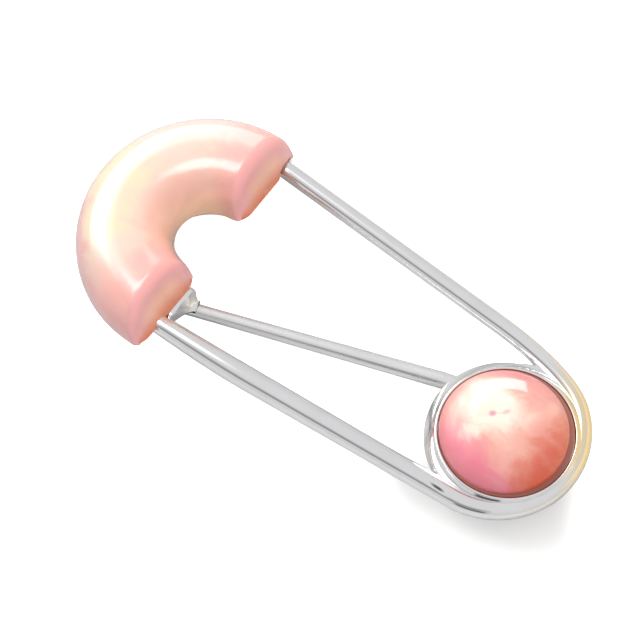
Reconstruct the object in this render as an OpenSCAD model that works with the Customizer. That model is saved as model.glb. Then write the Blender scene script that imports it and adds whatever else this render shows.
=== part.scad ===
// Safety pin brooch: a domed half-ring stone and a round cabochon joined by one bent wire, with a
// pin that swings out from under the cabochon's cup. It lies on its back with its lowest faces at z = 0.
// +X runs from the half ring to the cabochon, +Y to the side of the longer wire leg, +Z to the front.

/* [Half-ring stone] */
// Outer radius of the half ring at its base
horn_r = 13; // [12:0.1:15]
// Width of the half ring at its base
horn_w = 9.7; // [8.5:0.1:10]
// Height of the dome above its base
horn_h = 5.2; // [4:0.1:7]
// Fullness of the dome's section, where 2 is an ellipse
horn_full = 2.3; // [2:0.1:3]
// Length of the straight legs past the half ring
horn_leg = 1.5; // [0.8:0.1:4]
// How far the end faces lean back over the dome's height
horn_lean = 1.6; // [0.4:0.1:2.2]
// Rounding between the end faces and the dome
horn_round = 1.1; // [0.6:0.1:1.4]

/* [Round stone] */
// Diameter of the cabochon
cab_d = 13; // [11:0.1:15]
// Height of the cabochon's upright side
cab_side = 1.25; // [0.9:0.05:2]
// Height of the cabochon's dome above its side
cab_dome = 2.3; // [1.5:0.1:4]
// Fullness of the cabochon's dome, where 2 is an ellipse
cab_full = 2.2; // [2:0.1:3]

/* [Bezel cup] */
// Distance from the half ring's centre to the cup's centre
cup_x = 35.2; // [31:0.1:45]
// Sideways offset of the cup's centre
cup_y = 0.35; // [-1:0.05:1]
// Thickness of the cup's wall at its foot
cup_wall = 1.05; // [0.9:0.05:1.6]
// Width of the flat lip round the stone
lip_w = 0.25; // [0.15:0.05:0.4]
// How far the rim falls from its lip to its outer side
rim_fall = 0.85; // [0.5:0.05:1.1]
// Thickness of the cup's floor
cup_floor = 0.75; // [0.5:0.05:1.2]
// How far the cup's underside lies above the wire's
cup_lift = 0.15; // [0.1:0.05:0.4]

/* [Wire frame] */
// Diameter of the frame's wire
wire_d = 1.85; // [1.4:0.05:2.1]
// How far the bend would sink into the cup's wall if both had one centre
bend_bite = 0.25; // [0.15:0.01:0.4]
// How far the bend's centre lies behind the cup's centre
bend_back = 1.3; // [1.1:0.05:1.5]
// Sideways offset of the bend's centre from the cup's centre
bend_side = 0.4; // [0.2:0.05:0.6]
// Distance of the upper leg's root from the half ring's outer side
root_upper = 1.4; // [1:0.1:4]
// Distance of the lower leg's root from the half ring's outer side
root_lower = 3.4; // [1.5:0.1:4]
// How far the legs run on under the half ring's ends
root_run = 1.6; // [1.2:0.1:3]
// How far the solder between the upper leg and the cup runs along the leg
solder_run = 2.7; // [2:0.1:3.1]

/* [Back of the half ring] */
// Margin of the back plate inside the stone's outline
plate_in = 0.45; // [0.3:0.05:0.8]
// Thickness of the back plate
plate_t = 0.75; // [0.5:0.05:1]
// Margin of the gallery's rails inside the stone's outline
rail_in = 1.7; // [1.4:0.1:2.2]
// Thickness of the gallery's rails
rail_t = 0.9; // [0.6:0.05:1.2]
// Angle that the gallery covers
rail_arc = 140; // [110:1:142]

/* [Pin] */
// Diameter of the pin's shank
pin_d = 1.45; // [1:0.05:1.6]
// Length of the pin's taper
taper_len = 2.6; // [1.5:0.1:4]
// Diameter of the pin's blunted tip
tip_d = 0.24; // [0.1:0.02:0.5]
// Radius of the round eye at the pin's hinge
eye_r = 1.6; // [1.4:0.05:1.9]
// Thickness of the eye beyond the shank's diameter
eye_extra = 0.15; // [0.1:0.05:0.4]

/* [Hinge] */
// How far the hinge lies from the cup's centre towards the half ring
hinge_back = 3.2; // [2.6:0.1:3.6]
// How far the hinge lies from the cup's centre towards the upper leg
hinge_side = 3.9; // [3.2:0.1:4.2]
// Thickness of the ear under the eye
ear_t = 0.4; // [0.3:0.05:0.7]
// Thickness of the bracket's wall behind the eye
bracket_t = 0.65; // [0.5:0.05:0.9]
// Angle that the bracket's wall covers
bracket_arc = 150; // [110:1:160]
// Diameter of the rivet
rivet_d = 1.2; // [0.9:0.05:1.5]
// Angle that the pin swings open
swing_a = 60; // [30:1:75]

/* [Catch] */
// How far the catch's mouth stands out from the half ring's end
catch_out = 1.35; // [1:0.05:2]
// Distance of the pin from the half ring's inner side, at the catch's mouth
catch_in = 2.35; // [2.2:0.05:3]
// Distance from the mouth to the block that holds the pin's tip
block_back = 2; // [1.6:0.1:2.4]
// Length of the block
block_len = 3.2; // [2.6:0.1:4]
// Thickness of the block's side wall
block_wall = 0.5; // [0.4:0.05:0.7]
// How far the pin's tip stops short of the block's far end
tip_gap = 0.8; // [0.4:0.1:1]
// How far the flare's top edge stands out from the half ring's end
flare_out = 0.4; // [0.2:0.05:0.7]
// Length of the flare's top edge along the half ring's end
flare_w = 4.4; // [3.6:0.1:4.6]
// Width of the metal beside the pin at the flare's mouth
mouth_wall = 0.25; // [0.15:0.05:0.4]

/* [Clearances] */
// Gap between a stone and the metal that holds it
stone_gap = 0.05; // [0.03:0.01:0.1]
// Gap between the eye and the ears, and round the rivet in the eye
hinge_gap = 0.05; // [0.03:0.01:0.08]
// Gap round the rivet where the ears hold it
rivet_gap = 0.02; // [0.01:0.01:0.04]
// Gap over the pin where it swings under the wires
swing_gap = 0.2; // [0.15:0.05:0.4]
// Gap round the pin in its catch
catch_gap = 0.1; // [0.05:0.01:0.12]

/* [Hidden] */
metal = [0.86, 0.86, 0.87];
shell_pink = [0.93, 0.7, 0.66];
shell_rose = [0.95, 0.62, 0.6];

// Heights, from the rest face up
eye_z = ear_t + hinge_gap;
eye_t = pin_d + eye_extra;
pin_z = eye_z + eye_t / 2;
boss_z = eye_z + eye_t + hinge_gap;
deck_z = pin_z + pin_d / 2 + swing_gap;
wire_z = deck_z + wire_d / 2;
base_z = wire_z + wire_d / 4;
plate_z = base_z - stone_gap - plate_t;
cup_z = deck_z + cup_lift;
seat_z = cup_z + cup_floor;
cab_z = seat_z + stone_gap;
lip_z = cab_z + cab_side + stone_gap;

// Plan of the half ring
horn_in = horn_r - horn_w;
horn_mid = horn_r - horn_w / 2;

// Cup, stone and bend
cab_r = cab_d / 2;
cup_in = cab_r + stone_gap;
cup_r = cup_in + cup_wall;
foot_round = 0.3;
bend_c = [cup_x - bend_back, cup_y + bend_side];
bend_r = cup_r + wire_d / 2 - bend_bite;

// Joints of the wire: how far the ball stands out, and the angle by which the bend stops short of it
seam_over = 0.02;
seam_a = 0.4;

// Height of the solder, and how far along the leg it starts
solder_t = wire_d * 3 / 4;
solder_from = wire_d / 4;

// Roots of the legs and the angles at which they leave the bend
upper_root = [horn_leg, horn_r - root_upper];
lower_root = [horn_leg, root_lower - horn_r];
function span(a, b) = norm(b - a);
function bearing(a, b) = atan2(b[1] - a[1], b[0] - a[0]);
upper_off = bearing(bend_c, upper_root) - acos(bend_r / span(bend_c, upper_root));
lower_off = bearing(bend_c, lower_root) + acos(bend_r / span(bend_c, lower_root));
function leg_len(root) = sqrt(pow(span(bend_c, root), 2) - pow(bend_r, 2));

// Pin, hinge and catch
pivot = [cup_x - hinge_back, cup_y + hinge_side];
mouth = [horn_leg + catch_out, -horn_in - catch_in];
pin_a = bearing(pivot, mouth);
pin_len = span(pivot, mouth) + block_back + block_len - tip_gap;
bracket_r = eye_r + swing_gap + bracket_t;

// The whole brooch is centred on its length
mid_x = (bend_c[0] + bend_r + wire_d / 2 - horn_r) / 2;

// Half-ring stone: a dome section swept round the half ring and along the legs, with rounded ends
horn_sides = 22;
horn_arcs = 36;
round_steps = 4;
function signed_pow(v, p) = sign(v) * pow(abs(v), p);
function dome_s(a) = signed_pow(cos(a), 2 / horn_full) * horn_w / 2;
function dome_z(a) = pow(sin(a), 2 / horn_full) * horn_h;
// Where the end face lies at a height, and how far along the ring that is from its middle
function horn_end(z) = horn_leg - horn_lean * z / horn_h;
function horn_past(r, x) = x < 0 ? r * asin(x / r) * PI / 180 : x;
function horn_half(r, z) = r * PI / 2 + horn_past(r, horn_end(z));
// The place of a point that lies l along the arc of radius r, and past a quarter turn straight on
function horn_place(r, z, l) = let (turn = l / r * 180 / PI)
    abs(turn) <= 90 ? [-r * cos(turn), r * sin(turn), z] : [abs(l) - r * PI / 2, sign(l) * r, z];
// A point near an end: set in from the section at a, and back from the end face
function horn_point(a, inset, back, side) = let (
    s = dome_s(a) * (1 - 2 * inset / horn_w),
    z = dome_z(a) * (1 - inset / horn_h),
    r = horn_mid + s)
    horn_place(r, z, side * (horn_half(r, z) - back));
function horn_row(inset, back, side) =
    [for (j = [0:horn_sides]) horn_point(180 * j / horn_sides, inset, back, side)];
function horn_body_row(share) = [for (j = [0:horn_sides]) let (
    a = 180 * j / horn_sides,
    r = horn_mid + dome_s(a),
    z = dome_z(a))
    horn_place(r, z, share * (horn_half(r, z) - horn_round))];
function end_rows(side, steps) = [for (k = steps) let (t = 90 * k / round_steps)
    horn_row(horn_round * (1 - cos(t)), horn_round * (1 - sin(t)), side)];
horn_rows = concat(
    end_rows(-1, [round_steps:-1:1]),
    [for (i = [0:horn_arcs]) horn_body_row(2 * i / horn_arcs - 1)],
    end_rows(1, [1:round_steps]));

module crescent_stone() {
    n = horn_sides + 1;
    rows = len(horn_rows);
    points = [for (row = horn_rows, p = row) p];
    walls = [for (i = [0:rows - 2], j = [0:n - 1]) let (
        a = i * n + j,
        b = i * n + (j + 1) % n)
        each [[a, b, b + n], [a, b + n, a + n]]];
    ends = [[for (j = [n - 1:-1:0]) j], [for (j = [0:n - 1]) (rows - 1) * n + j]];
    color(shell_pink)
    translate([-mid_x, 0, base_z])
    polyhedron(points = points, faces = concat(walls, ends), convexity = 4);
}

// Cabochon: a disc with an upright side and a full dome
cab_steps = 14;
function cab_arc(k) = let (a = 90 * k / cab_steps)
    [cab_r * pow(cos(a), 2 / cab_full), cab_side + cab_dome * pow(sin(a), 2 / cab_full)];

module round_stone() {
    color(shell_rose)
    translate([cup_x - mid_x, cup_y, cab_z])
    rotate_extrude($fn = 96)
    polygon(concat(
        [[0, 0], [cab_r, 0]],
        [for (k = [0:cab_steps - 1]) cab_arc(k)],
        [[0, cab_side + cab_dome]]));
}

// Cup: a floor, a wall round the stone and a rim that rolls from the lip down to the outer side
rim_steps = 6;
module cup() {
    rim_run = cup_wall - lip_w;
    rim = [for (k = [0:rim_steps]) let (a = 90 * k / rim_steps)
        [cup_in + lip_w + rim_run * cos(a), lip_z - rim_fall + rim_fall * sin(a)]];
    translate([cup_x, cup_y, 0])
    rotate_extrude($fn = 96)
    polygon(concat(
        [[0, cup_z], [cup_r - foot_round, cup_z], [cup_r, cup_z + foot_round]],
        rim,
        [[cup_in, lip_z], [cup_in, seat_z], [0, seat_z]]));
}

// Frame wire: the bend and its two legs, each joined to the bend in a ball that is hardly thicker
module bend() {
    translate([bend_c[0], bend_c[1], wire_z])
    rotate([0, 0, lower_off + seam_a])
    rotate_extrude(angle = (upper_off - lower_off + 360) % 360 - 2 * seam_a, $fn = 96)
    translate([bend_r, 0])
    circle(d = wire_d, $fn = 48);
}

module leg(root, turn) {
    start = bend_c + bend_r * [cos(turn), sin(turn)];
    translate([start[0], start[1], wire_z]) {
        sphere(r = wire_d / 2 + seam_over, $fn = 48);
        rotate([0, 0, bearing(start, root)])
        rotate([0, 90, 0])
        cylinder(d = wire_d, h = leg_len(root) + root_run, $fn = 48);
    }
}

// Room left in the bend for the inside of the cup, out to the middle of its wall and floor
module cup_room() {
    translate([cup_x, cup_y, cup_z + cup_floor / 2])
    cylinder(r = cup_in + cup_wall / 3, h = wire_d, $fn = 96);
}

// Room left for the half-ring stone over its back plate
module stone_room() {
    reach = horn_r + root_run;
    translate([-reach, -reach, base_z - stone_gap])
    cube([reach + horn_leg + stone_gap, 2 * reach, horn_h]);
}

// Solder that fills the notch between the upper leg and the cup
module solder() {
    leg_gap = bend_r + span([cup_x, cup_y], bend_c) * cos(bearing([cup_x, cup_y], bend_c) - upper_off);
    from_x = cup_r - cup_wall * 2 / 3;
    translate([cup_x, cup_y, wire_z - solder_t / 2])
    rotate([0, 0, upper_off])
    translate([from_x, solder_from, 0])
    cube([leg_gap - wire_d / 4 - from_x, solder_run - solder_from, solder_t]);
}

// Plan of the half ring and its legs, set in from the stone's outline
module horn_plan(inset) {
    outer = horn_r - inset;
    inner = horn_in + inset;
    end = horn_leg - inset;
    difference() {
        union() {
            circle(r = outer, $fn = 96);
            translate([0, -outer])
            square([end, 2 * outer]);
        }
        circle(r = inner, $fn = 96);
        translate([0, -inner])
        square([2 * outer, 2 * inner]);
        translate([end, -2 * outer])
        square([2 * outer, 4 * outer]);
    }
}

module back_plate() {
    translate([0, 0, plate_z])
    linear_extrude(plate_t)
    horn_plan(plate_in);
}

// Gallery: two curved rails and two end walls that raise the half ring to the height of the hinge
module gallery() {
    outer = horn_r - rail_in;
    inner = horn_in + rail_in;
    height = plate_z + plate_t / 2;
    rotate([0, 0, 180 - rail_arc / 2])
    for (r = [inner, outer - rail_t])
        rotate_extrude(angle = rail_arc, $fn = 96)
        translate([r, 0])
        square([rail_t, height]);
    for (side = [-1, 1])
        rotate([0, 0, 180 + side * rail_arc / 2])
        translate([inner + rail_t / 2, side > 0 ? -rail_t : 0, 0])
        cube([outer - inner - rail_t, rail_t, height]);
}

// Hinge bracket: an ear under the eye, a boss over it and a wall behind it
module bracket() {
    wall_a = pin_a + 180 + swing_a / 2;
    top = cup_z + cup_floor / 3;
    translate([pivot[0], pivot[1], 0]) {
        cylinder(r = bracket_r, h = ear_t, $fn = 64);
        translate([0, 0, boss_z])
        cylinder(r = bracket_r, h = top - boss_z, $fn = 64);
        translate([0, 0, ear_t / 2])
        rotate([0, 0, wall_a - bracket_arc / 2])
        rotate_extrude(angle = bracket_arc, $fn = 64)
        translate([bracket_r - bracket_t, 0])
        square([bracket_t - ear_t / 8, top - ear_t]);
    }
}

// Catch: a flare that narrows from the stone's end to the pin's mouth, and a block behind it for the tip
module at_mouth() {
    translate([mouth[0], mouth[1], 0])
    rotate([0, 0, pin_a])
    children();
}

module flare() {
    top = base_z - stone_gap;
    root_x = horn_leg - plate_in;
    edge_x = horn_leg + flare_out;
    outer_y = -horn_in - catch_in / 2 - flare_w;
    mouth_r = pin_d / 2 + mouth_wall;
    across = mouth_r * [-sin(pin_a), cos(pin_a)];
    low = mouth + across;
    high = mouth - across;
    intersection() {
        translate([0, 0, pin_z])
        linear_extrude(top - pin_z)
        polygon([
            [root_x, outer_y], [edge_x, outer_y],
            [low[0], low[1]], [high[0], high[1]],
            [edge_x, outer_y + flare_w], [root_x, outer_y + flare_w]]);
        rotate([90, 0, 0])
        linear_extrude(horn_r)
        polygon([[root_x, 0], [root_x, top], [edge_x, top], [low[0], pin_z + mouth_r], [low[0], 0]]);
    }
}

module catch_block() {
    slot_r = pin_d / 2 + catch_gap;
    side = slot_r + block_wall;
    difference() {
        union() {
            flare();
            at_mouth()
            translate([block_back, -side, 0])
            cube([block_len, 2 * side, plate_z + plate_t / 2]);
        }
        at_mouth()
        translate([-2 * block_len, -slot_r, pin_z - slot_r])
        cube([2 * block_len + block_back + block_len - tip_gap / 2, horn_r, 2 * slot_r]);
    }
}

module frame() {
    color(metal)
    translate([-mid_x, 0, 0])
    difference() {
        union() {
            difference() {
                union() {
                    difference() {
                        bend();
                        cup_room();
                    }
                    leg(upper_root, upper_off);
                    leg(lower_root, lower_off);
                    cup();
                }
                stone_room();
            }
            solder();
            back_plate();
            gallery();
            bracket();
            catch_block();
        }
        translate([pivot[0], pivot[1], -ear_t])
        cylinder(d = rivet_d + 2 * rivet_gap, h = ear_t + cup_z + cup_floor / 2, $fn = 48);
    }
}

// Pin: a round eye on the rivet, a straight shank and a tapered tip that lies in the catch
module pin_stem() {
    color(metal)
    translate([pivot[0] - mid_x, pivot[1], 0])
    difference() {
        union() {
            translate([0, 0, eye_z])
            cylinder(r = eye_r, h = eye_t, $fn = 64);
            translate([0, 0, pin_z])
            rotate([0, 0, pin_a])
            rotate([0, 90, 0]) {
                cylinder(d = pin_d, h = pin_len - taper_len, $fn = 48);
                translate([0, 0, pin_len - taper_len])
                cylinder(d1 = pin_d, d2 = tip_d, h = taper_len, $fn = 48);
            }
        }
        translate([0, 0, eye_z - hinge_gap])
        cylinder(d = rivet_d + 2 * hinge_gap, h = eye_t + 2 * hinge_gap, $fn = 48);
    }
}

module hinge_rivet() {
    inset = ear_t / 8;
    color(metal)
    translate([pivot[0] - mid_x, pivot[1], inset])
    cylinder(d = rivet_d, h = cup_z + cup_floor / 2 - 2 * inset, $fn = 48);
}

frame();
crescent_stone();
round_stone();
pin_stem();
hinge_rivet();
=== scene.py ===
"""Safety pin brooch with a half-ring stone and a round stone, dressed over its packed frame."""

import math

import bmesh
import bpy
from mathutils import Matrix, Vector


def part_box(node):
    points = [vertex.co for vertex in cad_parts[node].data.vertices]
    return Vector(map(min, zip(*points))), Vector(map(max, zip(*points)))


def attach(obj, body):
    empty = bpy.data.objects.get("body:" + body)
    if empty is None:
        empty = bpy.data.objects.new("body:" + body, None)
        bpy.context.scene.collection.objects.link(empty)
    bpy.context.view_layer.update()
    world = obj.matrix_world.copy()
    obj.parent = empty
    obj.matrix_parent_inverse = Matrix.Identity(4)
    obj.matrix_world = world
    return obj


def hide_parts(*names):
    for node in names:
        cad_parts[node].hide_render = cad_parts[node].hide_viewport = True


bl_info = {
    "name": "Safety Pin Brooch",
    "version": (1, 0, 0),
    "blender": (4, 5, 0),
    "location": "3D View > Sidebar > Brooch",
    "description": "Builds a safety pin brooch with two polished stones over its packed frame",
    "category": "Object",
}

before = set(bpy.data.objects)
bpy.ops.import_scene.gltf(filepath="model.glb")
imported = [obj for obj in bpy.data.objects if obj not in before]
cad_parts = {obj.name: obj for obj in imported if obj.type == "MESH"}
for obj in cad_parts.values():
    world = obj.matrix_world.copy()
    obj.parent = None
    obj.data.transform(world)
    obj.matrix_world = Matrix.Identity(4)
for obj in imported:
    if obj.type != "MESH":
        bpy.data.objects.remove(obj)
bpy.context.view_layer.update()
HORN_LOW, HORN_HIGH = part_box("crescent_stone")
ROUND_LOW, ROUND_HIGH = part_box("round_stone")
PIN_LOW, PIN_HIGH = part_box("pin_stem")
RIVET_LOW, RIVET_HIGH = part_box("hinge_rivet")
MM = 0.001
VIEW_AZ, VIEW_EL = math.radians(35.996), math.radians(65.207)
VIEW_TARGET = Vector((-1.51, 0.14, 2.5625)) * MM
VIEW_DISTANCE = 223.166 * MM
FOCAL_PIXELS, PHOTO_PIXELS = 2287.0, 640.0
# The scar's length, width and slope, and the half width of the painted shade in it.
SCAR_LENGTH, SCAR_WIDTH, SCAR_SHADE_WIDTH, SCAR_SLOPE = 0.9 * MM, 0.2 * MM, 0.17 * MM, 0.22


# ---- Sizes and colours that a user may change


def length(name, description, default):
    return bpy.props.FloatProperty(
        name=name, description=description, default=default, precision=5, subtype="DISTANCE", unit="LENGTH"
    )


def angle(name, description, degrees):
    return bpy.props.FloatProperty(
        name=name, description=description, default=math.radians(degrees), subtype="ANGLE", unit="ROTATION"
    )


def share(name, description, default, low=0.0, high=1.0):
    return bpy.props.FloatProperty(name=name, description=description, default=default, min=low, max=high)


def colour(name, description, default):
    return bpy.props.FloatVectorProperty(
        name=name, description=description, default=default, size=3, min=0.0, max=1.0, subtype="COLOR"
    )


class HalfRingSizes(bpy.types.PropertyGroup):
    """Sizes of the half-ring stone and of what lies under it"""

    radius: length("Outer Radius", "Outer radius of the half ring at its base", (HORN_HIGH.y - HORN_LOW.y) / 2)
    width: length("Width", "Width of the half ring at its base", 9.7 * MM)
    height: length("Height", "Height of the dome", HORN_HIGH.z - HORN_LOW.z)
    fullness: share("Fullness", "Fullness of the dome's section, where 2 is an ellipse", 2.5, 1.5, 4)
    leg: length("Leg", "Straight length past the half ring", 1.5 * MM)
    lean: length("Lean", "How far the end faces lean back over the dome's height", 1.6 * MM)
    rounding: length("End Rounding", "Rounding between the end faces and the dome's crest", 1.0 * MM)
    corner: length("Corner Rounding", "Rounding between the end faces and the dome's foot", 0.45 * MM)
    flare: length("Inner Flare", "How far the inner side draws back towards the ends", 0.3 * MM)
    nose: length("Inner Corner", "How far the inner corners of the ends are rounded off", 0.4 * MM)
    dent: length("Dent", "Depth of the dent in which the upper leg ends", 1.1 * MM)
    plate: length("Back Plate", "Thickness of the back plate", 0.75 * MM)
    margin: length("Plate Margin", "Margin of the back plate inside the stone's outline", 0.45 * MM)
    tuck: length("Plate Tuck", "How much further the back plate's inner edge stays inside the stone", 0.45 * MM)
    rail: length("Rail", "Thickness of the gallery's rails", 0.9 * MM)
    rail_margin: length("Rail Margin", "Margin of the gallery's rails inside the stone's outline", 1.7 * MM)
    rail_arc: angle("Rail Angle", "Angle that the gallery covers", 140)


class CupSizes(bpy.types.PropertyGroup):
    """Sizes of the round stone and its cup"""

    radius: length("Stone Radius", "Radius of the round stone", (ROUND_HIGH.x - ROUND_LOW.x) / 2)
    side: length("Stone Side", "Height of the stone's upright side", 1.25 * MM)
    fullness: share("Fullness", "Fullness of the stone's dome, where 2 is an ellipse", 2.2, 1.5, 4)
    ledge: length("Ledge", "Mean width of the ledge round the dome", 0.28 * MM)
    shift: length("Dome Shift", "How far the dome sits off the middle of its ledge", 0.24 * MM)
    shift_way: angle("Shift Bearing", "Bearing in which the dome is shifted", 196)
    gap: length("Gap", "Gap between the stone and its cup", 0.05 * MM)
    wall: length("Wall", "Thickness of the cup's wall at its foot", 1.05 * MM)
    swell: length("Foot Swell", "How far the wall's foot swells out", 0.2 * MM)
    fall: length("Rim Fall", "Height of the slope between the lip and the wall", 1.3 * MM)
    lip: length("Lip", "Width of the lip round the stone", 0.17 * MM)
    roll: length("Lip Roll", "Rounding of the lip's outer side", 0.12 * MM)
    floor: length("Floor", "Thickness of the cup's floor", 0.75 * MM)


class WireSizes(bpy.types.PropertyGroup):
    """Sizes of the frame's wire, the pin, its hinge and its catch"""

    wire: length("Wire", "Diameter of the frame's wire", 1.85 * MM)
    bend_back: length("Bend Back", "How far the bend's centre lies behind the cup's centre", 1.3 * MM)
    bend_side: length("Bend Side", "Sideways offset of the bend's centre", 0.4 * MM)
    bend_bite: length("Bend Bite", "How far the bend would sink into the cup's wall", 0.25 * MM)
    bend_end: angle("Bend End", "Bearing at which the bend passes into the upper leg", 52)
    bend_pull: length("Bend Pull", "How far the bend is drawn in on its outer side", 0.125 * MM)
    bow: share("Bow", "How far the lower leg bows out, as a share of what it is thicker", 0.75)
    shoulder: length("Shoulder", "How far before the cup's centre the upper leg starts to bend", 6.95 * MM)
    shoulder_out: length("Shoulder Out", "How far the upper leg's shoulder stands beyond the bend's side", 0.8 * MM)
    upper_share: share("Upper Leg", "The upper leg's thickness as a share of the wire's", 1.0, 0.5, 2)
    lower_share: share("Lower Leg", "The lower leg's greatest thickness as a share of the wire's", 1.3, 0.5, 2)
    root_share: share("Lower Root Thickness", "The lower leg's thickness at its root, as a share", 1.06, 0.5, 2)
    root_upper: length("Upper Root", "Distance of the upper leg's root from the stone's outer side", 1.66 * MM)
    root_lower: length("Lower Root", "Distance of the lower leg's root from the stone's outer side", 3.4 * MM)
    root_run: length("Root Run", "How far the legs run on under the stone", 1.6 * MM)
    scar: length("Scar", "Depth of the scar where the lower leg meets the cup", 0.16 * MM)
    solder_end: share("Solder End", "Bearing on the cup, in degrees, at which the solder ends", 116.0, 60, 150)
    solder_hollow: share("Solder Hollow", "Bearing, in degrees, of the solder's deepest hollow", 103.0, 60, 150)
    pin: length("Pin", "Diameter of the pin's shank", 1.45 * MM)
    pin_near: share("Pin's Near End", "The shank's thickness beyond its hinge as a share of the pin's", 1.22, 0.3, 2)
    pin_far: share("Pin's Far End", "The shank's thickness at the catch as a share of the pin's", 0.95, 0.3, 1)
    taper: length("Taper", "Length of the pin's taper", 2.6 * MM)
    tip: length("Tip", "Diameter of the pin's tip", 0.24 * MM)
    eye: length("Eye", "Radius of the pin's eye", 1.6 * MM)
    rivet: length("Rivet", "Diameter of the hinge rivet", RIVET_HIGH.x - RIVET_LOW.x)
    ear: length("Ear", "Thickness of the hinge's ear", 0.4 * MM)


class StoneColours(bpy.types.PropertyGroup):
    """Colours of the polished stones and the metal"""

    body: colour("Body", "Main colour of the half-ring stone", (0.70, 0.37, 0.295))
    rim: colour("Rim", "Colour along the half ring's outer side", (0.60, 0.30, 0.28))
    heart: colour("Heart", "Colour along the half ring's crest", (0.60, 0.44, 0.365))
    inner: colour("Inner Side", "Colour along the half ring's inner side", (0.90, 0.53, 0.34))
    end: colour("Ends", "Colour towards the half ring's ends", (0.70, 0.30, 0.28))
    ridge: colour("Ridges", "Colour of the ridges round the end faces", (0.78, 0.34, 0.35))
    face: colour("End Faces", "Colour of the half ring's end faces", (0.82, 0.44, 0.31))
    cream: colour("Cream", "Creamy colour along the half ring's crest before its lower end", (0.60, 0.53, 0.33))
    # Painted sheen: a pale grey-white painted along the outer side before the upper end, standing in for a broad
    # reflection.
    painted_sheen: colour("Pearl", "Pearly colour along the half ring's outer side before its upper end", (0.52, 0.465, 0.42))
    peach: colour("Peach", "Colour of the round stone's middle", (0.72, 0.345, 0.28))
    coral: colour("Coral", "Colour of the round stone's far side", (0.60, 0.085, 0.035))
    rose: colour("Rose", "Colour of the round stone's rosy side", (0.68, 0.155, 0.235))
    # Blush: the stone's own pink on its upper side, and painted shade along its rim.
    blush_and_rim_shade: colour("Blush", "Colour along the round stone's upper side and rim", (0.60, 0.19, 0.2))
    # Milky cloud: partly the shell's own milky zone, partly a painted sheen.
    milk_and_sheen: colour("Milk", "Colour of the round stone's milky cloud", (0.82, 0.77, 0.66))
    # Painted reflection: dark red-brown on the ledge, standing in for the stone's reflection in the cup's inner wall.
    ledge: colour("Ledge", "Colour of the round stone's ledge", (0.30, 0.085, 0.055))
    # Painted shade: dark brown painted in the dent where the upper leg goes into the stone.
    dent_shade: colour("Notch", "Colour of the dent in which the upper leg ends", (0.34, 0.14, 0.085))
    edge: colour("Face Edges", "Colour of the end faces' lower edges", (0.70, 0.165, 0.06))
    mark: colour("Marks", "Colour of the round stone's two small marks", (0.70, 0.22, 0.30))
    # Painted shade: near-black colour painted in the crevice where the lower leg meets the cup.
    scar_shade: colour("Tarnish", "Colour of the tarnish in the scar beside the cup", (0.05, 0.05, 0.055))
    # Painted warm reflection: a warm colour painted on the outside of the bend, standing in for a warm reflection.
    painted_warm_reflection: colour("Warm Tint", "Warm tint on the outside of the bend", (0.93, 0.80, 0.54))
    silver: colour("Silver", "Colour of the metal", (0.90, 0.90, 0.905))


class StudioLight(bpy.types.PropertyGroup):
    """Strengths of the studio's lights"""

    room: share("Room", "Brightness of the pale room", 0.75, 0, 10)
    key: share("Key", "Brightness of the large soft light", 5.0, 0, 100)
    high: share("High", "Brightness of the key's dimmer upper part", 1.2, 0, 100)
    crescent: share("Crescent", "Brightness of the soft light for the half ring", 2.0, 0, 100)
    top: share("Top", "Brightness of the small strip light overhead", 4.4, 0, 100)
    window: share("Window", "Brightness of the small soft light for the round stone", 4.6, 0, 100)
    fill: share("Fill", "Brightness of the fill light at the front", 1.5, 0, 100)
    warm: share("Warm", "Brightness of the warm card at the side", 0.28, 0, 10)
    gap: share("Gap", "How dark the gap in the front of the light tent is", 0.6)
    slit: share("Slit", "How dark the narrow slit in the front of the light tent is", 0.85)
    floor: share("Floor", "Paleness of the floor", 0.9)


GROUPS = {
    "brooch_horn": HalfRingSizes,
    "brooch_cup": CupSizes,
    "brooch_wire": WireSizes,
    "brooch_colours": StoneColours,
    "brooch_light": StudioLight,
}


# ---- Places that several pieces share, worked out from the sizes


def heading(turn):
    """The flat unit vector that points along a bearing."""
    return Vector((math.cos(turn), math.sin(turn)))


def arc(centre, radius, start, sweep, steps, first=0):
    """Places along an arc, as flat pairs."""
    return [tuple(centre + radius * heading(start + sweep * k / steps)) for k in range(first, steps + 1)]


def clamped(t):
    return max(0.0, min(1.0, t))


def eased(t):
    """The way from 0 to 1, with a soft start and a soft end."""
    return t * t * (3 - 2 * t)


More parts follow.
